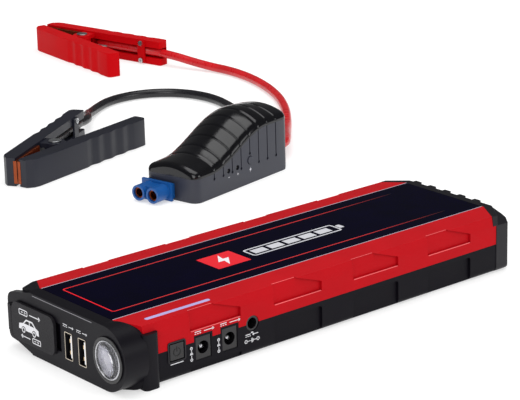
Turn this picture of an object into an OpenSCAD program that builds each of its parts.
// Jump starter power pack with its jumper cable set, laid out on one surface.
// Row frame: origin at the centre of the pack's flat bottom, +X towards the pack's rear end,
// +Y away from the side that carries the power button, +Z up. Millimetres.

/* [Pack] */
// Overall length of the pack
pack_l = 248; // [244:1:260]
// Width of the pack across its flat sides
pack_w = 84; // [84:1:88]
// Height of the pack
pack_h = 31; // [31:1:33]
// Width of the flat top, which the glossy panel fills
panel_w = 55.8; // [54:0.2:57]
// Height of the edge where the side turns into the sloping shoulder
shoulder_z = 25; // [24.5:0.5:25.5]
// Height of the seam between the lower and the upper housing
seam_z = 15; // [15:0.2:15.4]
// Thickness of the glossy top panel
panel_t = 1.2; // [1:0.1:1.4]
// Wall thickness of both housings at the sides
wall = 3.2; // [3:0.1:3.4]

/* [Grip recesses] */
// Distance from one grip recess to the next
grip_pitch = 49.7; // [49:0.1:50.5]
// Length of a grip recess
grip_l = 29.6; // [28:0.2:31]
// Depth of a grip recess
grip_depth = 1.3; // [1:0.1:1.8]

/* [Ports] */
// Outer height and width of a USB-A receptacle
usb_size = [13.1, 5.7];
// Centres of the two USB-A receptacles across the front face
usb_y = [-3, -13.6];
// Width and height of a DC output jack's face
dc_size = [9, 11];
// Centres of the two DC output jacks along the side
dc_x = [-76.9, -61.5];
// Radius of the mouth of a DC output jack
dc_bore_r = 3.1; // [3:0.05:3.2]
// Radius of the charge input's mouth
input_r = 3; // [2.8:0.1:3.2]

/* [Torch] */
// Radius of the torch lens
lens_r = 9.3; // [9:0.1:9.5]
// Outer radius of the ring round the lens
bezel_r = 11; // [10.8:0.1:11.2]
// Radius of the round barrel that carries the torch
barrel_r = 15.5; // [15:0.1:15.5]

/* [Cable module] */
// Length of the module on the jumper cables
mod_l = 86; // [84:1:92]
// Width of the module
mod_w = 38; // [38:1:40]
// Height of the module's side at its plug end
mod_h_front = 17; // [17:0.5:18]
// Height of the module's side at its cord end
mod_h_rear = 34; // [32:0.5:36]
// Height of the lid's crown over its edges
mod_crown = 8; // [6:0.5:9]
// Distance between the two contacts of the plug
contact_pitch = 10.5;
// Inner radius of a plug contact
contact_r = 2.5;

/* [Clamps] */
// Length of a clamp half from its tip to its tail
clamp_l = 108; // [104:1:112]
// Height of a clamp half as it lies on its side
clamp_h = 17; // [17:0.5:18]
// Thickness of a clamp half
clamp_t = 9.5; // [9:0.5:10]
// Distance from the tip of the jaws to the pivot
jaw_l = 42; // [40:1:44]
// Angle between a closed clamp's centre line and each half
half_angle = 9; // [8.5:0.5:9.5]

/* [Cords] */
// Diameter of the two jumper cords
cord_d = 5.8; // [5.4:0.2:6]

/* [Hidden] */
$fn = 48;

red = [0.74, 0.06, 0.11];
black = [0.14, 0.13, 0.14];
gloss_black = [0.03, 0.03, 0.05];
copper = [0.80, 0.42, 0.22];
steel = [0.75, 0.75, 0.77];
board_green = [0.06, 0.30, 0.18];

half_l = pack_l / 2;
half_w = pack_w / 2;
half_top = panel_w / 2 + 0.9;
panel_end = 117;            // the panel and the red rails end here, at |x|
rail_edge = [half_w - 1, pack_h - 1];   // outer top edge of the raised rails, across and up
rail_end = 110.5;           // the rails' outer top edges end here, at |x|
cap_x = -102.5;             // the front cap's back edge on the side
rear_x = 112.7;             // the rear cap's front edge on the side
floor_t = 2.4;              // bottom of the lower housing
inner_w = half_w - wall;    // half width of the hollow inside
ceiling_z = pack_h - 3;     // underside of the upper housing's top
grip_x = [for (k = [0:3]) 5 + grip_pitch * (k - 1.5)];
grip_ledge_z = 20.4;
button_x = -92.3;           // centre of the power button
button_z = 13.4;
button_s = 7.9;             // side of the power button
tab_top = 18.2;             // top of the lower housing's tabs round the ports
input_x = -47.9;
dc_z = 11.2;
light_y = -35.9;            // middle of the status light on the near rail
light_x = [-104.8, -67.8];  // its two ends
torch_y = -33.8;
torch_z = 15.6;
barrel_y = -31;
face_x = -half_l;           // the plane of the front face
cover_y = [6.4, 40.6];      // the port cover's free edge and hinge edge
cover_z = [5.5, 24.5];
hinge_y = 41.4;             // axis of the port cover's hinge
hinge_x = face_x - 0.9;
socket_y = 24;              // centre of the jumper socket
screw_spots = [for (x = [-98.6, 5, 107], y = [-35, 35]) [x, y]];
cell_x = [-32, 104];
cell_half_w = 31;
cell_t = 6.6;
cell_z = [4.2, 11.9, 19.6];

mod_pos = [72, 152];        // the module's front corner nearest the pack
mod_yaw = 12;
lid_t = 3;                  // height of the lid's edge band
mod_corner = 5;
slot_x = [for (k = [0:7]) 16.3 + 8.2 * k];
slot_end_z = 11;
boost_x = 49.2;
boost_z = 14;
mod_led_x = [29.4, 37.5];
plug_y = 26.2;              // middle of the plug across the module's front
plug_z = 5.2;
barrel_out = 14;            // how far the plug's barrels stand out
barrel_or = 4.6;
grommet_y = [16, 28];
grommet_z = 9;
grommet_l = 9;

clamp_pos = [[229, 483], [57, 269]];   // pivots of the red and the black clamp
clamp_yaw = [-86.5, 23.5];
tip_gap = 1.3;
pivot_v = -(jaw_l * sin(half_angle) + tip_gap);   // the pivot in a half's own frame
pivot_u = jaw_l * cos(half_angle);
ear_r = 6.3;
neck_w = 5.5;               // half width of the neck between an ear and its half
pin_r = 2.2;
run = 0.05;                 // running clearance of a hinge pin
channel_z = [4.8, 12.2];
channel_u = 44;             // the cord's channel and the spring's pocket start here
pocket_u = 52;
jaw_seat = [34, 1.2];       // length and depth of a jaw's seat in its half
lead_v = 3.7;               // depth of the cord in the handle's channel
lead_z = clamp_h / 2;
bracket_u = 88;

function smooth(t) = t <= 0 ? 0 : t >= 1 ? 1 : t * t * (3 - 2 * t);
function arc(c, r, a0, a1, n = 5) =
  [for (i = [0:n]) c + r * [cos(a0 + (a1 - a0) * i / n), sin(a0 + (a1 - a0) * i / n)]];
function turned(p, a) = [p.x * cos(a) - p.y * sin(a), p.x * sin(a) + p.y * cos(a)];
function put(p, at, a) = [at.x + turned(p, a).x, at.y + turned(p, a).y, p.z];
function mod_pt(p) = put(p, mod_pos, mod_yaw);
// A point given along, out of and above a clamp's fixed half, in the row frame
function clamp_pt(c, p) =
  let (q = turned([p.x, p.y + tip_gap], half_angle))
  put([q.x - jaw_l, q.y, p.z], clamp_pos[c], clamp_yaw[c]);
function mod_side_z(x) = mod_h_front + (mod_h_rear - mod_h_front) * smooth((x - 13) / 52);

// Routes of the cords along the surface, from the module to each clamp's tail
cord_z = cord_d / 2 + 0.05;
red_route = concat(
  [mod_pt([mod_l + 1, grommet_y[0], grommet_z]), mod_pt([mod_l + 10, grommet_y[0], 8.8])],
  [[170, 190.5, 8.4], [177, 197, 7.6], [188, 209.5, 6], [198.5, 221.5, 4.3],
   [209, 233.5, cord_z], [219.5, 246, cord_z], [229.8, 259, cord_z], [239.4, 272.8, cord_z],
   [248, 287.2, cord_z], [255.3, 302.2, cord_z], [261.3, 317.6, cord_z],
   [266, 333.6, cord_z], [269, 350, cord_z], [269.8, 366.6, cord_z], [266.7, 382, 3.6],
   [262, 395.5, 5.4]],
  [clamp_pt(0, [clamp_l + 12, lead_v, 7.6]), clamp_pt(0, [clamp_l - 1, lead_v, lead_z])]);
black_route = concat(
  [mod_pt([mod_l + 1, grommet_y[1], grommet_z]), mod_pt([mod_l + 10, grommet_y[1], 8.6])],
  [[168, 203.4, 7.2], [175.2, 210.8, 5.6], [181.5, 220.4, 4], [187, 231.8, cord_z],
   [192.5, 244.6, cord_z], [198, 258, cord_z], [203.5, 271.4, cord_z], [208.5, 285, cord_z],
   [212.5, 298.6, cord_z], [215, 312.6, cord_z], [214.5, 326.6, cord_z], [210, 340, cord_z],
   [201.5, 351, cord_z], [189.5, 358.4, cord_z], [175.5, 361, cord_z], [161.5, 359, cord_z],
   [149, 353, cord_z], [137.5, 344.6, 3.6], [128, 336, 5.2]],
  [clamp_pt(1, [clamp_l + 12, lead_v, 7.6]), clamp_pt(1, [clamp_l - 1, lead_v, lead_z])]);

module along_x(x0, x1) {
  translate([x0, 0, 0]) rotate([90, 0, 90]) linear_extrude(x1 - x0) children();
}
module along_y(y0, y1) {
  translate([0, y1, 0]) rotate([90, 0, 0]) linear_extrude(y1 - y0) children();
}
module block(x, y, z) {
  translate([x[0], y[0], z[0]]) cube([x[1] - x[0], y[1] - y[0], z[1] - z[0]]);
}
module rounded(a, b, r) {
  polygon(concat(arc([b.x - r, a.y + r], r, -90, 0), arc([b.x - r, b.y - r], r, 0, 90),
                 arc([a.x + r, b.y - r], r, 90, 180), arc([a.x + r, a.y + r], r, 180, 270)));
}
module both_sides() {
  children();
  mirror([0, 1, 0]) children();
}
module on_module() {
  translate([mod_pos.x, mod_pos.y, 0]) rotate([0, 0, mod_yaw]) children();
}
module on_clamp(c) {
  translate([clamp_pos[c].x, clamp_pos[c].y, 0]) rotate([0, 0, clamp_yaw[c]]) children();
}
// Places a half drawn from its tip along +X, with its outside towards +Y; side is 1 or -1
module on_half(side) {
  translate([-jaw_l, 0, 0]) rotate([0, 0, side * half_angle]) translate([0, side * tip_gap, 0])
    mirror([0, side < 0 ? 1 : 0, 0]) children();
}

// The pack's full cross-section, seen along X
module pack_section(w = half_w, top = half_top, z1 = pack_h) {
  polygon(concat([[-w, shoulder_z]], arc([-w + 3, 3], 3, 180, 270, 4),
                 arc([w - 3, 3], 3, 270, 360, 4), [[w, shoulder_z], [top, z1], [-top, z1]]));
}
// The cross-section above the shoulders, with a raised rail on each side of the panel
module rail_section(grow = 0) {
  polygon([[-half_w - grow, shoulder_z], [half_w + grow, shoulder_z],
           [rail_edge.x + grow, rail_edge.y], [half_top, pack_h],
           [-half_top, pack_h], [-rail_edge.x - grow, rail_edge.y]]);
}
// The shape that stays when the grip recesses are cut: the cross-section, pulled in
module grip_core() {
  along_x(-half_l, half_l)
    polygon([[-half_w + grip_depth, -1], [half_w - grip_depth, -1],
             [half_w - grip_depth, shoulder_z - 1], [rail_edge.x - grip_depth, rail_edge.y],
             [rail_edge.x - grip_depth - 1, pack_h + 1], [-rail_edge.x + grip_depth + 1, pack_h + 1],
             [-rail_edge.x + grip_depth, rail_edge.y], [-half_w + grip_depth, shoulder_z - 1]]);
}
module grip_recesses_upper() {
  difference() {
    for (x = grip_x) along_y(-half_w - 1, half_w + 1)
      polygon([[x - grip_l / 2, grip_ledge_z], [x + grip_l / 2, grip_ledge_z],
               [x + grip_l / 2, shoulder_z], [x, rail_edge.y], [x, pack_h + 1],
               [x - grip_l / 2, pack_h + 1]]);
    grip_core();
  }
}
module grip_recesses_lower() {
  difference() {
    for (x = grip_x) along_y(-half_w - 1, half_w + 1)
      rounded([x - grip_l / 2, -8], [x + grip_l / 2, 12.6], 1.4);
    grip_core();
    block([grip_x[0] - 20, grip_x[0] + 20], [-half_w - 2, 0], [3, pack_h]);
  }
}
// The tabs of the lower housing that stand up into the upper one, round the ports
module port_tabs(play = 0) {
  for (s = [[button_x, 4.7, tab_top], [dc_x[0], 5.3, tab_top - 0.4], [dc_x[1], 5.3, tab_top - 0.4]])
    block([s[0] - s[1] - play, s[0] + s[1] + play], [-half_w, -inner_w + 0.4],
          [seam_z, s[2] + play]);
}
module port_cutouts() {
  block([button_x - button_s / 2 - 0.3, button_x + button_s / 2 + 0.3], [-half_w - 1, -30],
        [button_z - button_s / 2 - 0.3, button_z + button_s / 2 + 0.3]);
  for (x = dc_x)
    block([x - dc_size.x / 2, x + dc_size.x / 2], [-half_w - 1, -inner_w + 2],
          [dc_z - dc_size.y / 2, dc_z + dc_size.y / 2]);
  translate([input_x, -half_w - 1, seam_z]) rotate([-90, 0, 0]) cylinder(r = 3.8, h = 8);
}

module lower_housing() {
  color(black) difference() {
    union() {
      difference() {
        along_x(cap_x, rear_x) intersection() {
          pack_section();
          translate([-half_w, 0]) square([pack_w, seam_z]);
        }
        along_x(cap_x - 1, rear_x + 1)
          translate([-inner_w, floor_t]) square([2 * inner_w, pack_h]);
      }
      port_tabs();
      for (p = screw_spots) translate([p.x, p.y, 0]) cylinder(r = 4.2, h = 5.5);
    }
    grip_recesses_lower();
    port_cutouts();
    for (p = screw_spots) translate([p.x, p.y, -1]) {
      cylinder(r = 1.6, h = 10);
      cylinder(r = 2.9, h = 4);
    }
  }
}
// The upper housing's outline below and above its shoulders, seen from above
module rail_plan() {
  polygon([[-panel_end, -half_top], [cap_x - 0.5, -half_w], [rear_x, -half_w],
           [panel_end, -half_top], [panel_end, half_top], [rear_x, half_w],
           [cap_x - 0.5, half_w], [-panel_end, half_top]]);
}
module rail_top_plan() {
  polygon([[-panel_end, -half_top], [-rail_end, -rail_edge.x], [-rail_end, -half_w],
           [rail_end, -half_w], [rail_end, -rail_edge.x], [panel_end, -half_top],
           [panel_end, half_top], [rail_end, rail_edge.x], [rail_end, half_w],
           [-rail_end, half_w], [-rail_end, rail_edge.x], [-panel_end, half_top]]);
}
// The room the upper housing takes up between the two end caps
module rail_room() {
  translate([0, 0, seam_z]) linear_extrude(shoulder_z - seam_z) rail_plan();
  translate([0, 0, shoulder_z]) linear_extrude(pack_h) rail_top_plan();
}
module upper_housing() {
  color(red) difference() {
    union() {
      difference() {
        intersection() {
          along_x(-panel_end - 1, panel_end + 1) {
            pack_section();
            rail_section();
          }
          rail_room();
        }
        along_x(-panel_end - 2, panel_end + 2)
          polygon([[-inner_w, 0], [inner_w, 0], [inner_w, shoulder_z - 2], [half_top - 2, ceiling_z],
                   [-half_top + 2, ceiling_z], [-inner_w, shoulder_z - 2]]);
      }
      for (p = screw_spots) translate([p.x, p.y, 6]) cylinder(r = 3, h = 19);
    }
    block([-panel_end - 1, panel_end + 1], [-panel_w / 2, panel_w / 2],
          [pack_h - panel_t, pack_h + 1]);
    grip_recesses_upper();
    port_tabs(0.05);
    port_cutouts();
    light_bar_slot(0.05);
    for (p = screw_spots) translate([p.x, p.y, 5]) cylinder(r = 1.25, h = 16);
  }
}
module top_panel() {
  color(gloss_black) block([-panel_end + 0.1, panel_end - 0.1],
                           [-panel_w / 2 + 0.1, panel_w / 2 - 0.1], [pack_h - panel_t, pack_h]);
}

// The front cap's outline at its face: flat, with a round end round the torch
module face_outline() {
  translate([barrel_y, pack_h / 2]) circle(r = barrel_r);
  translate([barrel_y, 0]) square([-barrel_y + 26.5, pack_h]);
  polygon(concat([[26, 0], [39, 3.6]], arc([43, 7], 3, -70, 0, 3),
                 arc([41.2, 23], 4.8, 0, 70, 4), [[26.5, pack_h]]));
}
module cap_plan(x_side) {
  polygon([[face_x, -27.5], [face_x + 1.1, -28.5], [-112, -half_w], [x_side, -half_w],
           [-panel_end, -half_top], [-panel_end, half_top], [x_side, half_w],
           [-112, half_w], [face_x + 1.1, 28.5], [face_x, 27.5]]);
}
module front_end_cap() {
  color(black) difference() {
    union() {
      intersection() {
        along_x(face_x, cap_x) pack_section();
        union() {
          translate([0, 0, seam_z]) linear_extrude(pack_h) cap_plan(cap_x - 0.5);
          linear_extrude(seam_z)
            polygon([[face_x, -27.5], [-112, -half_w], [cap_x, -half_w], [cap_x, half_w],
                     [-112, half_w], [face_x, 27.5]]);
        }
      }
      along_x(face_x, face_x + 3.2) face_outline();
      translate([face_x, barrel_y, pack_h / 2]) rotate([0, 90, 0]) cylinder(r = barrel_r, h = 13);
      along_x(face_x, face_x + 9) translate([20, 0]) rounded([0, 4.2], [26, 25], 4);
      both_sides() corner_bumper();
      intersection() {
        along_x(face_x, -rail_end) rail_section();
        translate([0, 0, shoulder_z]) linear_extrude(pack_h)
          polygon([[face_x + 2.4, 25], [face_x + 2.4, 36.5], [-113, rail_edge.x],
                   [-rail_end, rail_edge.x], [-panel_end, 25]]);
      }
    }
    rail_room();
    // the hollow behind the face
    block([face_x + 2.6, cap_x + 1], [-38, 38], [2.6, 23]);
    block([face_x + 2.6, cap_x + 1], [-27, 27], [2.6, ceiling_z]);
    // the torch's seat
    translate([face_x - 1, torch_y, torch_z]) rotate([0, 90, 0]) cylinder(r = bezel_r, h = 10);
    // windows for the USB receptacles and the jumper socket
    for (y = usb_y) translate([0, y, 13.1])
      block([face_x - 1, face_x + 4], [-usb_size.y / 2, usb_size.y / 2],
            [-usb_size.x / 2, usb_size.x / 2]);
    along_x(face_x - 1, face_x + 4) rounded([12.6, 6.8], [35.4, 23.2], 2);
    // finger notch at the cover's free edge, and the cover anchor's seat
    block([face_x - 1, face_x + 2], [3, 8.4], [8.6, 22.2]);
    block([face_x - 1, face_x + 2], [hinge_y + 1.2, hinge_y + 3.2], [8, 22]);
  }
}
module corner_bumper() {
  translate([-112, 0, 0]) linear_extrude(26.6)
    rounded([0, -half_w - 2.6], [8.6, -half_w + 6], 2.2);
}
// The rear cap's outline seen along Y
module rear_profile(back) {
  along_y(-half_w - 1, half_w + 1)
    polygon([[rail_end, 0], [120, 0], [back, 3.4], [back, 27.6], [121.4, pack_h],
             [rail_end, pack_h]]);
}
module rear_end_cap() {
  rib_y = [for (k = [-2:2]) 4 + 10.9 * k];
  back = half_l - 1.2;
  color(black) difference() {
    union() {
      intersection() {
        along_x(rail_end, half_l) pack_section(half_w + 0.3);
        linear_extrude(pack_h)
          polygon([[rear_x, -half_w - 1], [back - 2.4, -half_w - 1], [back, -half_w + 3],
                   [back, half_w - 3], [back - 2.4, half_w + 1], [rear_x, half_w + 1]]);
        rear_profile(back);
      }
      intersection() {
        along_x(rail_end, half_l) rail_section(0.3);
        translate([0, 0, shoulder_z]) linear_extrude(pack_h)
          polygon([[rail_end, -half_w - 1], [113, -half_w - 1], [back, -28.5], [back, 28.5],
                   [113, half_w + 1], [rail_end, half_w + 1]]);
        rear_profile(back);
      }
      for (y = rib_y) block([119, half_l], [y - 2.2, y + 2.2], [5, pack_h - 0.2]);
      both_sides() block([119, half_l], [27, 30.5], [5, 25.4]);
    }
    // the upper housing and the panel end inside the cap
    rail_room();
    block([rear_x - 1, 120], [-inner_w, inner_w], [floor_t, 23]);
    block([rear_x - 1, 119], [-27, 27], [floor_t, ceiling_z]);
  }
}

// Rubber flap over the jumper socket, with the plug that seals the opening
module port_cover() {
  color(black) {
    along_x(face_x - 1.6, face_x - 0.1)
      rounded([cover_y[0], cover_z[0]], [cover_y[1], cover_z[1]], 4);
    along_x(face_x - 0.2, face_x + 1.4) rounded([13.2, 7.4], [34.8, 22.6], 1.6);
    block([face_x - 1.4, face_x - 0.4], [cover_y[1] - 1, hinge_y], [9, 21]);
    translate([hinge_x, hinge_y, 9]) cylinder(r = 0.6, h = 12);
  }
}
module cover_anchor() {
  color(black) {
    block([face_x - 1.2, face_x], [hinge_y + 0.9, hinge_y + 3.2], [8.4, 21.6]);
    block([face_x, face_x + 1.9], [hinge_y + 1.3, hinge_y + 3.1], [8.1, 21.9]);
  }
}
module jumper_socket() {
  color([0.02, 0.25, 0.60]) difference() {
    block([face_x + 4, -104], [socket_y - 11.8, socket_y + 11.8], [8.2, 21.8]);
    along_x(face_x + 3, -108) rounded([socket_y - 10.4, 9.6], [socket_y + 10.4, 20.4], 3);
    for (s = [-1, 1]) translate([-110, socket_y + s * contact_pitch / 2, seam_z])
      rotate([0, 90, 0]) cylinder(r = contact_r - 0.3, h = 10);
  }
}
module socket_pins() {
  color([0.85, 0.68, 0.30])
    for (s = [-1, 1]) translate([face_x + 6, socket_y + s * contact_pitch / 2, seam_z])
      rotate([0, 90, 0]) {
        cylinder(r = contact_r, h = 10);
        cylinder(r = contact_r - 0.3, h = 20);
      }
}
module usb_shells() {
  color(steel) for (y = usb_y) translate([0, y, 13.1]) difference() {
    block([face_x + 0.3, face_x + 14], [-usb_size.y / 2, usb_size.y / 2],
          [-usb_size.x / 2, usb_size.x / 2]);
    block([face_x, face_x + 13.5], [-usb_size.y / 2 + 0.3, usb_size.y / 2 - 0.3],
          [-usb_size.x / 2 + 0.3, usb_size.x / 2 - 0.3]);
  }
}
module usb_tongues() {
  color("white") for (y = usb_y) translate([0, y, 13.1])
    block([face_x + 1.2, face_x + 13.5], [-usb_size.y / 2 + 0.3, -usb_size.y / 2 + 2.1],
          [-5.5, 5.5]);
}

module torch_bezel() {
  color(gloss_black) translate([face_x - 0.8, torch_y, torch_z]) rotate([0, 90, 0])
    difference() {
      cylinder(r = bezel_r - 0.1, h = 9.7);
      translate([0, 0, -1]) cylinder(r = lens_r, h = 3.4);
      translate([0, 0, 2.4]) cylinder(r = lens_r - 0.6, h = 8);
    }
}
module torch_reflector() {
  color([0.85, 0.84, 0.9]) translate([face_x - 0.8, torch_y, torch_z]) rotate([0, 90, 0])
    difference() {
      translate([0, 0, 2.45]) cylinder(r = lens_r - 0.65, h = 7.2);
      translate([0, 0, 2.4]) cylinder(r1 = lens_r - 1.1, r2 = 2.6, h = 6);
      translate([0, 0, 8]) cylinder(r = 2.6, h = 2);
    }
}
module torch_lens() {
  color([0.85, 0.85, 0.95, 0.5]) translate([face_x - 0.6, torch_y, torch_z]) rotate([0, 90, 0])
    cylinder(r = lens_r - 0.05, h = 2.1);
}
module torch_led() {
  color([0.85, 0.85, 0.2]) translate([face_x + 6.9, torch_y, torch_z]) {
    rotate([0, 90, 0]) cylinder(r = 2.5, h = 1.2);
    block([-0.5, 0.1], [-1.2, 1.2], [-1.2, 1.2]);
  }
}

// The slot for the status light on the near shoulder; play widens it
module light_bar_slot(play = 0) {
  slope = atan2(pack_h - rail_edge.y, rail_edge.x - half_top);
  translate([0, light_y, pack_h - (-light_y - half_top) * tan(slope)])
    rotate([slope, 0, 0]) translate([0, 0, -1.6 - play]) linear_extrude(3)
      rounded([light_x[0] - play, -1.1 - play], [light_x[1] + play, 1.1 + play], 1);
}
module status_light_bar() {
  color([0.80, 0.76, 0.90]) intersection() {
    light_bar_slot();
    along_x(light_x[0] - 2, light_x[1] + 2) rail_section();
  }
}
module status_leds() {
  color([0.95, 0.95, 0.8]) for (k = [0:4])
    translate([light_x[0] + 11.4 + 6 * k, light_y, 22.2]) block([-1.2, 1.2], [-1, 1], [0, 1.4]);
}
module power_button() {
  color(black) {
    block([button_x - button_s / 2, button_x + button_s / 2], [-half_w - 0.3, -inner_w],
          [button_z - button_s / 2, button_z + button_s / 2]);
    block([button_x - 2, button_x + 2], [-inner_w, -37.2], [button_z - 2, button_z + 2]);
  }
}
module button_switch() {
  color(steel) {
    block([button_x - 3, button_x + 3], [-36.2, -32.4], [button_z - 3, button_z + 3]);
    block([button_x - 3, button_x + 3], [-35.8, -32.4], [7.4, button_z - 3]);
  }
}
module dc_output_jacks() {
  color(black) for (x = dc_x) difference() {
    block([x - dc_size.x / 2 + 0.05, x + dc_size.x / 2 - 0.05], [-half_w + 0.4, -28.5],
          [dc_z - dc_size.y / 2 + 0.05, dc_z + dc_size.y / 2 - 0.05]);
    translate([x, -half_w, dc_z]) rotate([-90, 0, 0]) cylinder(r = dc_bore_r, h = 11.5);
  }
}
module dc_jack_pins() {
  color(steel) for (x = dc_x) translate([x, -half_w + 1.6, dc_z]) rotate([-90, 0, 0])
    cylinder(r = 1.05, h = 9.9);
}
module charge_input_jack() {
  color(black) translate([input_x, -half_w + 0.4, seam_z]) rotate([-90, 0, 0]) difference() {
    cylinder(r = 3.75, h = 10);
    translate([0, 0, -1]) cylinder(r = input_r - 0.4, h = 9);
  }
}
module main_circuit_board() {
  color(board_green) {
    block([-94, -36], [-27.8, 37], [5.8, 7.4]);
    block([-70, -52], [6, 22], [7.4, 14]);
    block([-90, -76], [-20, -8], [7.4, 10]);
    for (k = [0:3]) translate([-48, -16 + 9 * k, 7.4]) cylinder(r = 3.6, h = 10);
  }
}
module battery_cells() {
  color([0.62, 0.64, 0.68]) for (z = cell_z) translate([0, 0, z]) linear_extrude(cell_t)
    rounded([cell_x[0], -cell_half_w], [cell_x[1], cell_half_w], 4);
}
module cell_pads() {
  color([0.25, 0.25, 0.28]) {
    block(cell_x + [8, -8], [-26, 26], [floor_t, cell_z[0]]);
    for (k = [0, 1]) block(cell_x + [8, -8], [-26, 26], [cell_z[k] + cell_t, cell_z[k + 1]]);
    block(cell_x + [8, -8], [-26, 26], [cell_z[2] + cell_t, ceiling_z]);
  }
}
module cell_busbars() {
  color(copper) for (s = [-1, 1])
    block([cell_x[0] - 1, cell_x[0]], [s * 14 - 7, s * 14 + 7], [6, 25]);
}
module power_leads() {
  for (s = [0, 1]) color(s == 0 ? red : black)
    translate([-104, socket_y + (2 * s - 1) * contact_pitch / 2, 21])
      rotate([0, 90, 0]) cylinder(r = 2.2, h = 71);
  color(copper) for (s = [0, 1]) translate([0, socket_y + (2 * s - 1) * contact_pitch / 2, 0])
    block([-98, -96], [-1.8, 1.8], [13, 19]);
}
module housing_screws() {
  color(steel) for (p = screw_spots) translate([p.x, p.y, 0]) {
    translate([0, 0, 0.8]) difference() {
      cylinder(r = 2.7, h = 2.2);
      for (a = [0, 90]) rotate([0, 0, a]) translate([-1.5, -0.35, -1]) cube([3, 0.7, 1.9]);
    }
    translate([0, 0, 2.9]) cylinder(r = 1.2, h = 17);
  }
}

// The module's side outline, seen along Y; cut lowers the top edge and inset shrinks the rest
module mod_profile(cut, inset = 0) {
  steps = 20;
  cut_corner = inset > 0 ? 0 : 3.5;
  polygon(concat([[inset, inset], [mod_l - inset - cut_corner, inset],
                  [mod_l - inset, inset + cut_corner]],
                 [for (i = [steps:-1:0]) let (x = inset + (mod_l - 2 * inset) * i / steps)
                   [x, mod_side_z(x) - cut]]));
}
module mod_plan(inset = 0) {
  rounded([inset, inset], [mod_l - inset, mod_w - inset], mod_corner - inset);
}
module side_slots() {
  for (x = slot_x) {
    low = abs(x - boost_x) < 2 ? boost_z + 4 : slot_end_z;
    translate([x, -0.1, 0]) {
      block([-0.35, 0.35], [0, 0.8], [low, mod_h_rear + 5]);
      translate([0, 0, low]) rotate([-90, 0, 0]) cylinder(r = 0.9, h = 0.9);
    }
  }
}
module module_case() {
  color([0.26, 0.27, 0.33]) on_module() difference() {
    intersection() {
      along_y(0, mod_w) mod_profile(lid_t);
      linear_extrude(60) mod_plan();
    }
    difference() {
      intersection() {
        along_y(2.2, mod_w - 2.2) mod_profile(0, 2.2);
        linear_extrude(60) mod_plan(2.2);
      }
      for (p = module_screw_spots()) translate([p.x, p.y, 0]) cylinder(r = 3, h = p.z);
    }
    side_slots();
    translate([0, mod_w, 0]) mirror([0, 1, 0]) side_slots();
    for (x = mod_led_x) translate([x, -1, 12.4]) rotate([-90, 0, 0]) cylinder(r = 1.5, h = 5);
    translate([boost_x, -1, boost_z]) rotate([-90, 0, 0]) cylinder(r = 2.6, h = 5);
    block([-1, 5], [plug_y - 10.2, plug_y + 10.2], [1.2, 9.8]);
    for (y = grommet_y) translate([mod_l - 4, y, grommet_z]) rotate([0, 90, 0])
      cylinder(r = 4, h = 8);
    for (p = module_screw_spots()) translate([p.x, p.y, -1]) {
      cylinder(r = 1.3, h = 60);
      cylinder(r = 2.5, h = 3.4);
    }
  }
}
function module_screw_spots() = [[8, 6.4, 12], [8, mod_w - 6.4, 12],
                                 [mod_l - 8, 6.4, 24], [mod_l - 8, mod_w - 6.4, 24]];

// The crowned, ribbed lid: rows of points across the module, one row per station
lid_n = 10;                 // steps across the lid
rib_dip = 0.7;
function lid_half(x) = let (e = min(x, mod_l - x))
  mod_w / 2 - (e < mod_corner ? mod_corner - sqrt(max(0, mod_corner ^ 2 - (mod_corner - e) ^ 2)) : 0);
function lid_dip(x) = max([for (s = slot_x) abs(x - s) < 0.3 ? rib_dip : 0]);
lid_x = concat([0.3, 1, 2.2, 3.6, mod_corner, 8, 12],
               [for (s = slot_x) each [s - 0.5, s, s + 0.5, s + 4.1]],
               [for (e = [mod_corner, 3.6, 2.2, 1, 0.3]) mod_l - e]);
function end_drop(x) = let (e = min(x, mod_l - x)) e < 4 ? 1.6 * (1 - e / 4) ^ 2 : 0;
function lid_ring(x) =
  let (h = lid_half(x), z = mod_side_z(x), dip = lid_dip(x) + end_drop(x),
       crown = mod_crown * (0.5 + 0.5 * sin(180 * x / mod_l)))
  concat([[x, mod_w / 2 - h, z - lid_t + 0.02]],
         [for (i = [0:lid_n]) let (t = 2 * i / lid_n - 1, s = abs(t) > 0.99 ? 1 : 0)
           [x, mod_w / 2 + t * (h - 0.25), z - 1.1 * s + crown * (1 - t * t) - dip]],
         [[x, mod_w / 2 + h, z - lid_t + 0.02]]);
module swept(rings) {
  n = len(rings[0]);
  m = len(rings);
  polyhedron(
    points = [for (r = rings) each r],
    faces = concat(
      [[for (i = [0:n - 1]) i]], [[for (i = [n - 1:-1:0]) (m - 1) * n + i]],
      [for (j = [0:m - 2], i = [0:n - 1]) let (k = (i + 1) % n)
        each [[j * n + i, (j + 1) * n + i, (j + 1) * n + k],
              [j * n + i, (j + 1) * n + k, j * n + k]]]),
    convexity = 6);
}
module module_lid() {
  color(gloss_black) on_module() swept([for (x = lid_x) lid_ring(x)]);
}
module module_circuit_board() {
  color(board_green) on_module() {
    block([14, 74.6], [10, 34], [6, 7.6]);
    block([28, 40], [26, 33], [7.6, 11]);
  }
}
module module_relay() {
  color([0.1, 0.1, 0.12]) on_module() block([48, 68], [14, 30], [7.6, 22]);
}
module module_leds() {
  color([0.9, 0.95, 0.9]) on_module() for (x = mod_led_x) translate([x, 0.6, 12.4])
    rotate([-90, 0, 0]) cylinder(r = 1.45, h = 5);
}
module boost_button() {
  color(gloss_black) on_module() translate([boost_x, -0.5, boost_z]) rotate([-90, 0, 0])
    cylinder(r = 2.3, h = 3.5);
}
module boost_switch() {
  color(steel) on_module() {
    block([boost_x - 3, boost_x + 3], [4, 7.6], [boost_z - 3, boost_z + 3]);
    block([boost_x - 1, boost_x + 1], [7.6, 9.9], [6, boost_z]);
  }
}
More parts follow.
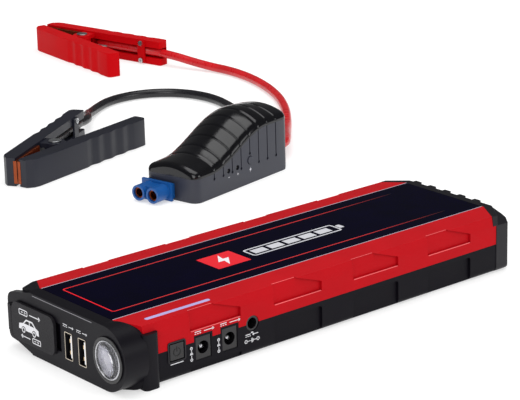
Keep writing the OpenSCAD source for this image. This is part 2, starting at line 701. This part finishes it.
module plug_housing() {
  color([0.0, 0.33, 0.70]) on_module() difference() {
    union() {
      block([-2.2, 4.9], [plug_y - 10.1, plug_y + 10.1], [1.3, 9.7]);
      block([-4, -2.2], [plug_y - 11, plug_y + 11], [0.2, 10.8]);
      for (s = [-1, 1]) translate([-barrel_out, plug_y + s * contact_pitch / 2, plug_z])
        rotate([0, 90, 0]) cylinder(r = barrel_or, h = barrel_out - 3);
      block([-11, -3], [plug_y - 3, plug_y + 3], [1.2, 9.2]);
    }
    for (s = [-1, 1]) translate([-barrel_out - 1, plug_y + s * contact_pitch / 2, plug_z])
      rotate([0, 90, 0]) cylinder(r = contact_r + 0.8, h = barrel_out + 5);
  }
}
module plug_contacts() {
  color(copper) on_module() for (s = [-1, 1])
    translate([-barrel_out + 1.2, plug_y + s * contact_pitch / 2, plug_z]) rotate([0, 90, 0])
      difference() {
        cylinder(r = contact_r + 0.75, h = barrel_out + 2);
        translate([0, 0, -1]) cylinder(r = contact_r, h = 13);
      }
}
module cord_grommets() {
  color([0.08, 0.08, 0.09]) on_module() for (y = grommet_y)
    translate([mod_l - 2.1, y, grommet_z]) rotate([0, 90, 0]) difference() {
      union() {
        cylinder(r = 3.95, h = 2.2);
        translate([0, 0, 2.1]) cylinder(r1 = 5.2, r2 = 4.1, h = grommet_l);
      }
      translate([0, 0, -1]) cylinder(r = cord_d / 2 + 0.05, h = grommet_l + 5);
    }
}
module module_screws() {
  color(steel) on_module() for (p = module_screw_spots()) translate([p.x, p.y, 0.6]) {
    cylinder(r = 2.2, h = 1.7);
    cylinder(r = 1.2, h = p.z - 2);
  }
}

// A tube of eight sides along a route; every ring stands square to the route's direction
module tube(route, d) {
  last = len(route) - 1;
  ring_n = 8;
  swept([for (i = [0:last])
    let (a = route[max(i - 1, 0)], b = route[min(i + 1, last)], t = (b - a) / norm(b - a),
         side = cross([0, 0, 1], t) / norm(cross([0, 0, 1], t)), up = cross(t, side))
    [for (k = [0:ring_n - 1]) let (w = 360 * (k + 0.5) / ring_n)
      route[i] + d / 2 * (cos(w) * side + sin(w) * up)]]);
}
module red_cord() { color(red) tube(red_route, cord_d); }
module black_cord() { color(black) tube(black_route, cord_d); }

// One half of a clamp, from its tip along +X, with finger grooves on its outside
module half_outline() {
  grooves = [50, 96];
  wave = 11.5;
  polygon(concat(
    [[0, 0]], arc([clamp_l - 1.5, 1.5], 1.5, -90, 0, 3),
    arc([clamp_l - 3.5, clamp_t - 3.5], 3.5, 0, 90, 4),
    [for (u = [grooves[1]:-wave / 8:grooves[0]])
      [u, clamp_t - 0.5 * (1 - cos(360 * (u - grooves[0]) / wave))]],
    [[7, clamp_t], [3.4, clamp_t - 1], [0, clamp_t - 4]]));
}
module half_body(side, levels) {
  on_half(side) difference() {
    linear_extrude(clamp_h) half_outline();
    block([-1, jaw_seat.x], [-1, jaw_seat.y], [1.5, clamp_h - 1.5]);
    if (side > 0) {
      block([channel_u, clamp_l + 1], [-1, 7.2], channel_z);
      for (z = [2.3, clamp_h - 2.3]) translate([bracket_u + 3.2, -1, z]) rotate([-90, 0, 0])
        cylinder(r = 1.1, h = 6.4);
    } else block([pocket_u, clamp_l - 4], [-1, 6.6], [3, clamp_h - 3]);
  }
  for (z = levels) translate([0, 0, z[0]]) linear_extrude(z[1] - z[0]) difference() {
    union() {
      circle(r = ear_r);
      on_half(side) translate([pivot_u - neck_w, pivot_v]) square([2 * neck_w, 0.4 - pivot_v]);
    }
    circle(r = pin_r + (side < 0 ? run : 0));
  }
}
fixed_levels = [[1, 3.8], [clamp_h - 3.8, clamp_h - 1]];
moving_levels = [[4, 6.8], [clamp_h - 6.8, clamp_h - 4]];

module fixed_handle(c, tint) { color(tint) on_clamp(c) half_body(1, fixed_levels); }
module moving_handle(c, tint) { color(tint) on_clamp(c) half_body(-1, moving_levels); }
module jaw(c, side) {
  color(copper) on_clamp(c) on_half(side) {
    block([0, jaw_seat.x - 0.2], [-1, jaw_seat.y - 0.05], [1.6, clamp_h - 1.6]);
    for (u = [5:2.6:31]) translate([0, 0, 1.6]) linear_extrude(clamp_h - 3.2)
      polygon([[u, -0.9], [u + 1.2, -2], [u + 2.4, -0.9]]);
  }
}
module pivot_pin(c) {
  color(steel) on_clamp(c) {
    translate([0, 0, 0.1]) cylinder(r = 3.8, h = 0.9);
    translate([0, 0, 0.5]) cylinder(r = pin_r, h = clamp_h - 1);
    translate([0, 0, clamp_h - 1]) cylinder(r = 3.8, h = 0.9);
  }
}
module clamp_spring(c) {
  color(steel) on_clamp(c) {
    for (k = [-1:1]) translate([0, 0, clamp_h / 2 + k]) rotate_extrude()
      translate([4.3, 0]) circle(r = 0.6, $fn = 16);
    for (s = [-1, 1]) translate([0, s * 4.3, clamp_h / 2]) rotate([0, 90, s * 18])
      cylinder(r = 0.6, h = 17);
  }
}
module lead_end(c, tint) {
  color(tint) on_clamp(c) on_half(1) translate([0, lead_v, lead_z]) rotate([0, 90, 0]) {
    translate([0, 0, 45]) cylinder(r1 = 1.2, r2 = cord_d / 2, h = 5);
    translate([0, 0, 50]) cylinder(r = cord_d / 2, h = clamp_l - 51);
  }
}
module cord_bracket(c, tint) {
  color(tint) on_clamp(c) on_half(1) difference() {
    block([bracket_u, bracket_u + 6.4], [-1.3, -0.02], [0.6, clamp_h - 0.6]);
    for (z = [2.3, clamp_h - 2.3]) translate([bracket_u + 3.2, -2, z]) rotate([-90, 0, 0])
      cylinder(r = 1.1, h = 4);
  }
}
module bracket_screws(c) {
  color(steel) on_clamp(c) on_half(1) for (z = [2.3, clamp_h - 2.3])
    translate([bracket_u + 3.2, 0, z]) rotate([-90, 0, 0]) {
      translate([0, 0, -2.3]) difference() {
        cylinder(r = 1.8, h = 1);
        for (a = [0, 90]) rotate([0, 0, a]) translate([-1.1, -0.25, -1]) cube([2.2, 0.5, 1.6]);
      }
      translate([0, 0, -1.4]) cylinder(r = 1.05, h = 6.6);
    }
}

lower_housing();
upper_housing();
top_panel();
front_end_cap();
rear_end_cap();
port_cover();
cover_anchor();
jumper_socket();
socket_pins();
usb_shells();
usb_tongues();
torch_bezel();
torch_reflector();
torch_lens();
torch_led();
status_light_bar();
status_leds();
power_button();
button_switch();
dc_output_jacks();
dc_jack_pins();
charge_input_jack();
main_circuit_board();
battery_cells();
cell_pads();
cell_busbars();
power_leads();
housing_screws();
module_case();
module_lid();
module_circuit_board();
module_relay();
module_leds();
boost_button();
boost_switch();
plug_housing();
plug_contacts();
cord_grommets();
module_screws();
red_cord();
black_cord();
fixed_handle(0, red);  // red_fixed_handle
moving_handle(0, red);  // red_moving_handle
jaw(0, 1);  // red_fixed_jaw
jaw(0, -1);  // red_moving_jaw
pivot_pin(0);  // red_pivot_pin
clamp_spring(0);  // red_spring
lead_end(0, red);  // red_lead_end
cord_bracket(0, red);  // red_cord_bracket
bracket_screws(0);  // red_bracket_screws
fixed_handle(1, black);  // black_fixed_handle
moving_handle(1, black);  // black_moving_handle
jaw(1, 1);  // black_fixed_jaw
jaw(1, -1);  // black_moving_jaw
pivot_pin(1);  // black_pivot_pin
clamp_spring(1);  // black_spring
lead_end(1, black);  // black_lead_end
cord_bracket(1, black);  // black_cord_bracket
bracket_screws(1);  // black_bracket_screws
